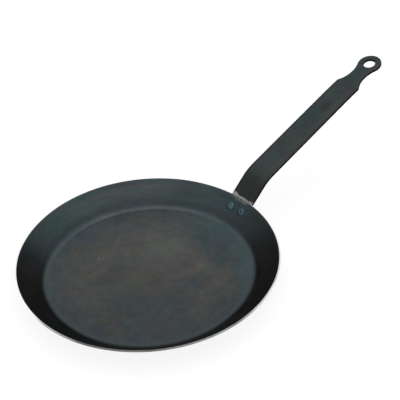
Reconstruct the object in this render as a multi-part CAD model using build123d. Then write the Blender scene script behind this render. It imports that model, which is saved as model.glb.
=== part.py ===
from build123d import *
import math
import os

# Crepe pan: pressed steel dish, strip handle, two rivets.
# Millimetres, +Z up. Origin: centre of the base's underside.
# The handle points along +X.

# ---- driving dimensions -------------------------------------------------
RIM_D = 239.4            # over the rim's outer edge; sold as 240
SHEET_T = 1.6            # dish sheet thickness
INNER_H = 20.9           # floor's top face to the rim's top edge
WALL_ANGLE = 42.85       # wall slope, degrees from horizontal
CORNER_R_IN = 8.0        # bend radius inside, floor to wall
CORNER_R_OUT = 9.6       # the same bend, outside
RIM_BREAK_OUT = 0.12     # broken edges of the cut rim
RIM_BREAK_IN = 0.3

HANDLE_W = 27.9          # strip width
HANDLE_T = 2.5           # strip thickness
FOOT_BELOW = 20.6        # foot's length below the rim, along the wall
RISE_PAST = 20.0         # straight run past the rim, along the wall
BEND_R = 42.4            # bend radius, top face
HANDLE_ANGLE = 20.6      # straight run's slope, degrees from horizontal
RUN_L = 107.8            # straight run from the bend to the droop
DROOP = 2.4              # how far the handle's end hangs down, degrees
DROOP_L = 20.0           # length of strip over which it bends down
TIP_L = 4.2              # straight from there to the shoulders
FOOT_R = 9.0             # foot's corner radius
SEAT_DEPTH = 0.62        # how far the foot is pressed round the wall

SHOULDER_R = 26.5        # concave curve from shoulder to neck
SHOULDER_TIP_R = 1.6     # rounding of the shoulder's corner
NECK_HALF = 8.6          # half width of the neck
NECK_FROM = 16.9         # neck's straight part, from the shoulders
NECK_TO = 18.3
EYE_AT = 36.0            # eye's centre, from the shoulders
EYE_R = 12.4             # eye's outer radius
HOLE_R = 6.1             # hanging hole's radius
EDGE_BREAK = 0.35        # broken edges of the strip

RIVET_X = 109.8          # rivets, distance from the pan's axis along the handle
RIVET_PITCH = 14.5       # across the handle
SHANK_D = 4.5
HEAD_IN_D = 8.0          # low button head inside the wall
HEAD_IN_H = 1.3
HEAD_OUT_D = 8.4         # formed head under the foot
HEAD_OUT_H = 2.0

# ---- derived ------------------------------------------------------------
A = math.radians(WALL_ANGLE)
B = math.radians(HANDLE_ANGLE)
ca, sa = math.cos(A), math.sin(A)
cb, sb = math.cos(B), math.sin(B)
C = math.radians(HANDLE_ANGLE - DROOP)          # the end's slope
DROOP_R = DROOP_L / math.radians(DROOP)
RIM_R = RIM_D / 2
TOP_Z = SHEET_T + INNER_H
# the rim is cut square to the sheet, so its outer edge is lower
RIM_IN_R = RIM_R - SHEET_T * sa
RIM_OUT_Z = TOP_Z - SHEET_T * ca
FLOOR_R = RIM_IN_R - INNER_H / math.tan(A)      # inner corner, before the bend
BASE_R = RIM_R - RIM_OUT_Z / math.tan(A)        # outer corner, before the bend


def xz(x, z):
    return Vector(x, 0, z)


# ---- dish ---------------------------------------------------------------
# Half section in the XZ plane, turned round Z.
dish_pts = [
    (0, 0),
    (BASE_R, 0),
    (RIM_R, RIM_OUT_Z),
    (RIM_IN_R, TOP_Z),
    (FLOOR_R, SHEET_T),
    (0, SHEET_T),
]
with BuildPart() as dish:
    with BuildSketch(Plane.XZ) as sec:
        with BuildLine():
            Polyline(*dish_pts, close=True)
        make_face()
        vs = sec.vertices()

        def near(px, pz):
            return min(vs, key=lambda v: (Vector(v.X, v.Y, v.Z) - Vector(px, pz, 0)).length)

        fillet(near(BASE_R, 0), CORNER_R_OUT)
        vs = sec.vertices()
        fillet(near(FLOOR_R, SHEET_T), CORNER_R_IN)
        vs = sec.vertices()
        fillet(near(RIM_R, RIM_OUT_Z), RIM_BREAK_OUT)
        vs = sec.vertices()
        fillet(near(RIM_IN_R, TOP_Z), RIM_BREAK_IN)
    revolve(axis=Axis.Z, revolution_arc=360)
dish_solid = dish.part.solids()[0]

# ---- handle side profile (XZ plane) -------------------------------------
# The foot is parallel to the wall. Its top face is set SEAT_DEPTH into the
# wall's outer line and is then cut to the wall's cone, so the flat strip
# seats on the round wall over its whole width.
n_wall = xz(-sa, ca)
d_wall = xz(ca, sa)
rim_pt = xz(RIM_R, RIM_OUT_Z) + n_wall * SEAT_DEPTH
p_foot = rim_pt - d_wall * FOOT_BELOW
p_bend0 = rim_pt + d_wall * RISE_PAST
c_bend = p_bend0 - n_wall * BEND_R
n_run = xz(-sb, cb)
d_run = xz(cb, sb)
p_bend1 = c_bend + n_run * BEND_R
mid_n = xz(-math.sin((A + B) / 2), math.cos((A + B) / 2))
p_bendm = c_bend + mid_n * BEND_R
# the end hangs down a little: one long arc, then straight again
p_droop0 = p_bend1 + d_run * RUN_L
c_droop = p_droop0 - n_run * DROOP_R
n_tip = xz(-math.sin(C), math.cos(C))
d_tip = xz(math.cos(C), math.sin(C))
mid_d = xz(-math.sin((B + C) / 2), math.cos((B + C) / 2))
p_droopm = c_droop + mid_d * DROOP_R
p_droop1 = c_droop + n_tip * DROOP_R
p_shoulder = p_droop1 + d_tip * TIP_L
p_end = p_shoulder + d_tip * (EYE_AT + EYE_R)
t = HANDLE_T

with BuildPart() as strip:
    with BuildSketch(Plane.XZ):
        with BuildLine():
            def q(v):
                return (v.X, v.Z)
            Line(q(p_foot), q(p_bend0))
            ThreePointArc(q(p_bend0), q(p_bendm), q(p_bend1))
            Line(q(p_bend1), q(p_droop0))
            ThreePointArc(q(p_droop0), q(p_droopm), q(p_droop1))
            Line(q(p_droop1), q(p_end))
            Line(q(p_end), q(p_end - n_tip * t))
            Line(q(p_end - n_tip * t), q(p_droop1 - n_tip * t))
            ThreePointArc(q(p_droop1 - n_tip * t), q(p_droopm - mid_d * t), q(p_droop0 - n_run * t))
            Line(q(p_droop0 - n_run * t), q(p_bend1 - n_run * t))
            ThreePointArc(q(p_bend1 - n_run * t), q(p_bendm - mid_n * t), q(p_bend0 - n_wall * t))
            Line(q(p_bend0 - n_wall * t), q(p_foot - n_wall * t))
            Line(q(p_foot - n_wall * t), q(p_foot))
        make_face()
    extrude(amount=HANDLE_W / 2, both=True)
strip_solid = strip.part.solids()[0]

# ---- handle outline, seen square to its end -----------------------------
run_plane = Plane(origin=p_shoulder, x_dir=d_tip, z_dir=n_tip)
h = HANDLE_W / 2


def arc_y(x, cx, r):
    # height of a concave arc whose lowest point is NECK_HALF at cx
    return NECK_HALF + r - math.sqrt(r * r - (x - cx) ** 2)


# shoulder corner: where the concave arc meets the strip's edge
x_sh = NECK_FROM - math.sqrt(SHOULDER_R ** 2 - (NECK_HALF + SHOULDER_R - h) ** 2)
x_sm = (x_sh + NECK_FROM) / 2
y_sm = arc_y(x_sm, NECK_FROM, SHOULDER_R)
# concave arc from the neck to the eye, tangent to both
k = EYE_R - NECK_HALF
dx = EYE_AT - NECK_TO
# (dx)^2 + (NECK_HALF + r)^2 = (EYE_R + r)^2
r_eye = (dx * dx + NECK_HALF ** 2 - EYE_R ** 2) / (2 * k)
cx_e, cy_e = NECK_TO, NECK_HALF + r_eye
u = Vector(cx_e - EYE_AT, cy_e, 0).normalized()
x_t, y_t = EYE_AT + u.X * EYE_R, u.Y * EYE_R
a0 = math.atan2(NECK_HALF - cy_e, 0.0)
a1 = math.atan2(y_t - cy_e, x_t - cx_e)
am = (a0 + a1) / 2
x_em, y_em = cx_e + r_eye * math.cos(am), cy_e + r_eye * math.sin(am)

back = -(RUN_L + 160)
with BuildPart() as outline:
    with BuildSketch(run_plane) as osk:
        with BuildLine():
            Line((back, -h), (x_sh, -h))
            ThreePointArc((x_sh, -h), (x_sm, -y_sm), (NECK_FROM, -NECK_HALF))
            Line((NECK_FROM, -NECK_HALF), (NECK_TO, -NECK_HALF))
            ThreePointArc((NECK_TO, -NECK_HALF), (x_em, -y_em), (x_t, -y_t))
            ThreePointArc((x_t, -y_t), (EYE_AT + EYE_R, 0), (x_t, y_t))
            ThreePointArc((x_t, y_t), (x_em, y_em), (NECK_TO, NECK_HALF))
            Line((NECK_TO, NECK_HALF), (NECK_FROM, NECK_HALF))
            ThreePointArc((NECK_FROM, NECK_HALF), (x_sm, y_sm), (x_sh, h))
            Line((x_sh, h), (back, h))
            Line((back, h), (back, -h))
        make_face()
    extrude(amount=160, both=True)
outline_solid = outline.part.solids()[0]
handle_solid = (strip_solid & outline_solid).solids()[0]

# hanging hole, square through the eye
eye_c = p_shoulder + d_tip * EYE_AT
hole = Cylinder(HOLE_R, 20, align=(Align.CENTER, Align.CENTER, Align.CENTER))
hole = Plane(origin=eye_c - n_tip * (t / 2), z_dir=n_tip) * hole
handle_solid = (handle_solid - hole).solids()[0]

# foot corners and shoulder corners rounded
across = [
    e for e in handle_solid.edges().filter_by(GeomType.LINE)
    if abs(abs(e.center().Y) - h) < 0.05 and abs(e.length - t) < 0.05
]
foot_c = p_foot - n_wall * (t / 2)
tip_c = p_shoulder + d_tip * x_sh - n_tip * (t / 2)
foot_edges = [e for e in across if (e.center() - foot_c).length < h + 1.0]
handle_solid = handle_solid.fillet(FOOT_R, foot_edges)
across = [
    e for e in handle_solid.edges().filter_by(GeomType.LINE)
    if abs(abs(e.center().Y) - h) < 0.05 and abs(e.length - t) < 0.05
]
tip_edges = [e for e in across if (e.center() - tip_c).length < h + 1.0]
handle_solid = handle_solid.fillet(SHOULDER_TIP_R, tip_edges)


# every edge of the two broad faces is broken
def lies_on_face(e, off):
    # off is 0 on the top face and t on the underside
    m = e @ 0.5
    v = m - p_droop0
    on_run = abs(v.dot(n_run) + off) < 0.02 and -RUN_L - 0.05 < v.dot(d_run) < 0.05
    v = m - p_droop1
    on_tip = abs(v.dot(n_tip) + off) < 0.02 and v.dot(d_tip) > -0.05
    v = Vector(m.X - c_droop.X, 0, m.Z - c_droop.Z)
    on_droop = abs(v.length - (DROOP_R - off)) < 0.02 and p_droop0.X - 2 < m.X < p_droop1.X + 2
    w = m - rim_pt
    on_wall = abs(w.dot(n_wall) + off) < 0.02 and w.dot(d_wall) < RISE_PAST + 0.05
    c = Vector(m.X - c_bend.X, 0, m.Z - c_bend.Z)
    on_bend = abs(c.length - (BEND_R - off)) < 0.02 and e.geom_type != GeomType.LINE
    return on_run or on_wall or on_bend or on_tip or on_droop


def across_strip(e):
    # straight lines over the strip's width, where flat and bend meet
    tan = e % 0.5
    return e.geom_type == GeomType.LINE and abs(tan.Y) > 0.99


def end_line(e):
    # the foot's end edge is a real edge, the bend's lines are not
    return (Vector((e @ 0.5).X, 0, (e @ 0.5).Z) - p_foot).length < t + 0.1


broad = [
    e for e in handle_solid.edges()
    if (lies_on_face(e, 0) or lies_on_face(e, t))
    and (not across_strip(e) or end_line(e))
    and not (e.geom_type == GeomType.LINE and abs(e.length - t) < 0.05)
]
handle_solid = handle_solid.fillet(EDGE_BREAK, broad)

# seat: the inside of the wall's outer cone, carried on past the rim
up = 40.0
with BuildPart() as cone:
    with BuildSketch(Plane.XZ):
        with BuildLine():
            Polyline(
                (BASE_R, 0), (BASE_R + up / math.tan(A), up),
                (0, up), (0, 0), close=True,
            )
        make_face()
    revolve(axis=Axis.Z, revolution_arc=360)
handle_solid = (handle_solid - cone.part.solids()[0]).solids().sort_by(SortBy.VOLUME)[-1]

# ---- rivets -------------------------------------------------------------
# Axis square to the wall in the handle's middle plane.
z_in = SHEET_T + (math.hypot(RIVET_X, RIVET_PITCH / 2) - FLOOR_R) * math.tan(A)
wall_t = SHEET_T
grip = wall_t - SEAT_DEPTH + t          # head to head


def dome(d, hgt):
    # half section of a button head standing on z = 0: short edge, then a dome
    r = d / 2
    e = 0.35
    sph = (r * r + (hgt - e) ** 2) / (2 * (hgt - e))
    ang = math.asin(r / sph) / 2
    return r, e, (sph * math.sin(ang), hgt - sph + sph * math.cos(ang))


def rivet(side):
    base = Vector(RIVET_X, side * RIVET_PITCH / 2, z_in)
    pl = Plane(origin=base, x_dir=Vector(0, 1, 0), z_dir=n_wall)
    ri, ei, mi = dome(HEAD_IN_D, HEAD_IN_H)
    ro, eo, mo = dome(HEAD_OUT_D, HEAD_OUT_H)
    sink = 0.6                           # heads start below the faces, trimmed after
    g = grip
    with BuildPart() as rv:
        with BuildSketch(Plane.XZ):
            with BuildLine():
                Polyline(
                    (0, HEAD_IN_H), (0, -g - HEAD_OUT_H),
                )
                ThreePointArc((0, -g - HEAD_OUT_H), (mo[0], -g - mo[1]), (ro, -g - eo))
                Polyline((ro, -g - eo), (ro, -g + sink), (SHANK_D / 2, -g + sink),
                         (SHANK_D / 2, -sink), (ri, -sink), (ri, ei))
                ThreePointArc((ri, ei), (mi[0], mi[1]), (0, HEAD_IN_H))
            make_face()
        revolve(axis=Axis.Z, revolution_arc=360)
    body = pl * rv.part.solids()[0]
    bore = pl * Cylinder(SHANK_D / 2, 30)
    return body, bore


raw_l, bore_l = rivet(1)
raw_r, bore_r = rivet(-1)
dish_solid = (dish_solid - bore_l - bore_r).solids()[0]
handle_solid = (handle_solid - bore_l - bore_r).solids().sort_by(SortBy.VOLUME)[-1]


def trimmed(raw):
    left = raw - dish_solid - handle_solid
    return left.solids().sort_by(SortBy.VOLUME)[-1]


rivet_l = trimmed(raw_l)
rivet_r = trimmed(raw_r)

# ---- write --------------------------------------------------------------
os.makedirs("parts", exist_ok=True)
nodes = {
    "pan_body": dish_solid,
    "handle": handle_solid,
    "rivet_left": rivet_l,
    "rivet_right": rivet_r,
}
for name, solid in nodes.items():
    solid.label = name
    export_step(solid, "parts/%s.step" % name)

bb = Compound(children=list(nodes.values())).bounding_box()
print("overall", [round(v, 2) for v in (bb.size.X, bb.size.Y, bb.size.Z)],
      "min", [round(v, 3) for v in (bb.min.X, bb.min.Y, bb.min.Z)])
print("floor corner radius %.2f base radius %.2f rim inner radius %.2f" % (FLOOR_R, BASE_R, RIM_IN_R))
print("eye centre top", [round(v, 3) for v in (eye_c.X, eye_c.Y, eye_c.Z)],
      "axis", [round(v, 5) for v in (n_tip.X, n_tip.Y, n_tip.Z)])
print("rivet z", round(z_in, 3), "shoulder x", round(x_sh, 3), "eye fillet", round(r_eye, 2))
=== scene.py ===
import math
import random

import bmesh
import bpy
import numpy as np
from mathutils import Matrix, Vector, noise


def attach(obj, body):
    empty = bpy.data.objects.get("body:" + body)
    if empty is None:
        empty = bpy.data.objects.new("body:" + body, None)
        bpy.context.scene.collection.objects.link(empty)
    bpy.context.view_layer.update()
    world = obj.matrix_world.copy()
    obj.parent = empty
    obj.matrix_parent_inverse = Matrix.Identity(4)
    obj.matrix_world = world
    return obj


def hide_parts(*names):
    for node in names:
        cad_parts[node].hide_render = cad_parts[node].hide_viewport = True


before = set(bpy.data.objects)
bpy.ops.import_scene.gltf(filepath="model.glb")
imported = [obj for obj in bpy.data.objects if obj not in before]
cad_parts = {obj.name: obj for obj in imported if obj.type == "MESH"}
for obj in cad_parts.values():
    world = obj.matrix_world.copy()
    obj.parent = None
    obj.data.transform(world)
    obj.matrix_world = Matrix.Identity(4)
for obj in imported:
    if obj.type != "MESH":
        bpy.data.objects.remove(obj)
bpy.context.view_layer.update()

# Crepe pan: blued steel dish, blued strip handle, two rivets.
# Shapes are worked out in millimetres in the row frame and written in metres.
random.seed(7)
MM = 0.001

# ---- dimensions, the same as the CAD's ----------------------------------
RIM_R, SHEET_T, INNER_H, WALL_ANGLE = 119.7, 1.6, 20.9, 42.85
CORNER_IN, CORNER_OUT, BREAK_OUT, BREAK_IN = 8.0, 9.6, 0.12, 0.3
HALF_W, STRIP_T = 13.95, 2.5
FOOT_BELOW, RISE_PAST, BEND_R, HANDLE_ANGLE, RUN_L = 20.6, 20.0, 42.4, 20.6, 107.8
DROOP, DROOP_L, TIP_L = 2.4, 20.0, 4.2
FOOT_R, SEAT_DEPTH = 9.0, 0.62
SHOULDER_R, TIP_R, NECK_HALF, NECK_FROM, NECK_TO = 26.5, 1.6, 8.6, 16.9, 18.3
EYE_AT, EYE_R, HOLE_R, EDGE = 36.0, 12.37, 6.1, 0.35
RIVET_X, RIVET_Y, SHANK_R = 109.8, 7.25, 2.25
HEAD_IN_R, HEAD_IN_H, HEAD_OUT_R, HEAD_OUT_H = 4.0, 1.3, 4.2, 2.0

A = math.radians(WALL_ANGLE)
B = math.radians(HANDLE_ANGLE)
C = math.radians(HANDLE_ANGLE - DROOP)
DROOP_R = DROOP_L / math.radians(DROOP)
sa, ca, sb, cb = math.sin(A), math.cos(A), math.sin(B), math.cos(B)
TOP_Z = SHEET_T + INNER_H
RIM_IN_R = RIM_R - SHEET_T * sa
RIM_OUT_Z = TOP_Z - SHEET_T * ca
FLOOR_R = RIM_IN_R - INNER_H / math.tan(A)
BASE_R = RIM_R - RIM_OUT_Z / math.tan(A)


# =========================================================================
# mesh helpers
# =========================================================================
def make_object(name, verts_mm, faces, mats, face_mats=None, sharp_deg=None):
    me = bpy.data.meshes.new(name)
    me.from_pydata([(x * MM, y * MM, z * MM) for x, y, z in verts_mm], [], faces)
    for m in mats:
        me.materials.append(m)
    if face_mats is not None:
        me.polygons.foreach_set("material_index", face_mats)
    bm = bmesh.new()
    bm.from_mesh(me)
    bmesh.ops.recalc_face_normals(bm, faces=bm.faces)
    bm.to_mesh(me)
    bm.free()
    me.polygons.foreach_set("use_smooth", [True] * len(me.polygons))
    me.update()
    ob = bpy.data.objects.new(name, me)
    bpy.context.scene.collection.objects.link(ob)
    return ob


def fillet(p0, p1, p2, r, n):
    """Arc of n segments that rounds the corner p1 of the line p0, p1, p2."""
    p0, p1, p2 = (np.array(p, float) for p in (p0, p1, p2))
    u = (p0 - p1) / np.linalg.norm(p0 - p1)
    v = (p2 - p1) / np.linalg.norm(p2 - p1)
    half = math.acos(float(np.clip(u @ v, -1, 1))) / 2
    d = r / math.tan(half)
    c = p1 + (u + v) / np.linalg.norm(u + v) * r / math.sin(half)
    a = p1 + u * d - c
    b = p1 + v * d - c
    a0 = math.atan2(a[1], a[0])
    turn = math.atan2(a[0] * b[1] - a[1] * b[0], a @ b)
    return [
        (c[0] + r * math.cos(a0 + turn * i / n), c[1] + r * math.sin(a0 + turn * i / n))
        for i in range(n + 1)
    ]


def soft_noise(x, y, z, scale):
    return noise.noise(Vector((x * scale, y * scale, z * scale)))


# =========================================================================
# node helpers
# =========================================================================
class Nodes:
    """A small writer of shader node trees."""

    def __init__(self, tree):
        self.t = tree
        self.t.nodes.clear()
        self.shared = {}

    def put(self, socket, v):
        if isinstance(v, bpy.types.NodeSocket):
            self.t.links.new(v, socket)
        else:
            socket.default_value = v

    def new(self, kind, **props):
        n = self.t.nodes.new(kind)
        for k, v in props.items():
            setattr(n, k, v)
        return n

    def math(self, op, a, b=0.0, clamp=False):
        n = self.new("ShaderNodeMath", operation=op, use_clamp=clamp)
        self.put(n.inputs[0], a)
        self.put(n.inputs[1], b)
        return n.outputs[0]

    def vmath(self, op, a, b=(0, 0, 0)):
        n = self.new("ShaderNodeVectorMath", operation=op)
        self.put(n.inputs[0], a)
        self.put(n.inputs[1], b)
        return n.outputs["Value"] if op in ("LENGTH", "DISTANCE", "DOT_PRODUCT") else n.outputs[0]

    def vscale(self, a, k):
        n = self.new("ShaderNodeVectorMath", operation="SCALE")
        self.put(n.inputs[0], a)
        self.put(n.inputs["Scale"], k)
        return n.outputs[0]

    def ramp(self, v, a, b, lo=0.0, hi=1.0, smooth=True):
        n = self.new("ShaderNodeMapRange", interpolation_type="SMOOTHSTEP" if smooth else "LINEAR")
        self.put(n.inputs["Value"], v)
        self.put(n.inputs["From Min"], a)
        self.put(n.inputs["From Max"], b)
        self.put(n.inputs["To Min"], lo)
        self.put(n.inputs["To Max"], hi)
        return n.outputs["Result"]

    def noise(self, vec, scale, detail=3.0, rough=0.55, warp=0.0, colour=False):
        n = self.new("ShaderNodeTexNoise")
        self.put(n.inputs["Vector"], vec)
        self.put(n.inputs["Scale"], scale)
        self.put(n.inputs["Detail"], detail)
        self.put(n.inputs["Roughness"], rough)
        self.put(n.inputs["Distortion"], warp)
        return n.outputs[1] if colour else n.outputs[0]

    def mapping(self, vec, loc=(0, 0, 0), rot=(0, 0, 0), scale=(1, 1, 1), kind="POINT"):
        n = self.new("ShaderNodeMapping", vector_type=kind)
        self.put(n.inputs["Vector"], vec)
        n.inputs["Location"].default_value = loc
        n.inputs["Rotation"].default_value = rot
        n.inputs["Scale"].default_value = scale
        return n.outputs[0]

    def split(self, vec):
        n = self.new("ShaderNodeSeparateXYZ")
        self.put(n.inputs[0], vec)
        return n.outputs[0], n.outputs[1], n.outputs[2]

    def join(self, x, y, z):
        n = self.new("ShaderNodeCombineXYZ")
        for s, v in zip(n.inputs, (x, y, z)):
            self.put(s, v)
        return n.outputs[0]

    def mix(self, f, a, b, how="MIX"):
        n = self.new("ShaderNodeMix", data_type="RGBA", blend_type=how, clamp_factor=True)
        self.put(n.inputs[0], f)
        for s, v in ((n.inputs[6], a), (n.inputs[7], b)):
            self.put(s, v if isinstance(v, bpy.types.NodeSocket) else (*v, 1.0))
        return n.outputs[2]

    def patch(self, p, at, size, turn=0.0, inner=0.25):
        """1 in the middle of an oval at a place in the object's own plan, 0 outside it; millimetres and degrees."""
        q = self.mapping(
            p, (at[0] * MM, at[1] * MM, 0), (0, 0, math.radians(turn)),
            (size[0] * MM, size[1] * MM, 100.0), "TEXTURE",
        )
        return self.ramp(self.vmath("LENGTH", q), 1.0, inner)

    def oval(self, p, at, size, turn, inner=0.25, k=1.0):
        """Like patch, k in the middle, from a few turned and stretched coordinates that all ovals share."""
        turn = min((-36, -18, 32, 112), key=lambda v: abs(v - turn))
        long = min((0.6, 1.0, 1.5, 2.1), key=lambda v: abs(math.log(v * size[1] / size[0])))
        if (turn, long) not in self.shared:
            self.shared[turn, long] = self.mapping(
                p, (0, 0, 0), (0, 0, math.radians(turn)), (long, 1.0, 100.0), "TEXTURE",
            )
        c, s = math.cos(math.radians(turn)), math.sin(math.radians(turn))
        u, v = at[0] * c + at[1] * s, at[1] * c - at[0] * s
        reach = math.sqrt(size[0] * size[1] / long)
        d = self.vmath("DISTANCE", self.shared[turn, long], (u / long * MM, v * MM, 0.0))
        return self.ramp(d, reach * MM, inner * reach * MM, 0.0, k)

    def band(self, angle, stops):
        """Colours by an angle in radians, from (degrees, colour) stops between -180 and 180."""
        n = self.new("ShaderNodeValToRGB")
        ramp = n.color_ramp
        while len(ramp.elements) < len(stops):
            ramp.elements.new(0.5)
        for e, (deg, tint) in zip(ramp.elements, stops):
            e.position = (deg + 180) / 360
            e.color = (*tint, 1.0)
        self.put(n.inputs[0], self.ramp(angle, -math.pi, math.pi, smooth=False))
        return n.outputs[0]

    def bump(self, height, strength, distance, normal=None):
        n = self.new("ShaderNodeBump")
        n.inputs["Strength"].default_value = strength
        n.inputs["Distance"].default_value = distance
        self.put(n.inputs["Height"], height)
        if normal is not None:
            self.put(n.inputs["Normal"], normal)
        return n.outputs[0]


def material(name, metallic=1.0, edge_tint=None):
    m = bpy.data.materials.new(name)
    m.use_nodes = True
    g = Nodes(m.node_tree)
    out = g.new("ShaderNodeOutputMaterial")
    sh = g.new("ShaderNodeBsdfPrincipled")
    m.node_tree.links.new(sh.outputs[0], out.inputs[0])
    sh.inputs["Metallic"].default_value = metallic
    if edge_tint is not None:
        sh.inputs["Specular Tint"].default_value = (*edge_tint, 1.0)
    g.coord = g.new("ShaderNodeTexCoord").outputs["Object"]
    return m, g, sh


def around(g, p):
    """Coordinates that run round the pan's axis, for marks along the rim: (cos, sin, radius)."""
    x, y, z = g.split(p)
    flat = g.join(x, y, 0.0)
    r = g.vmath("LENGTH", flat)
    inv = g.math("DIVIDE", 1.0, g.math("MAXIMUM", r, 0.004))
    return g.math("MULTIPLY", x, inv), g.math("MULTIPLY", y, inv), r, z


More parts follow.
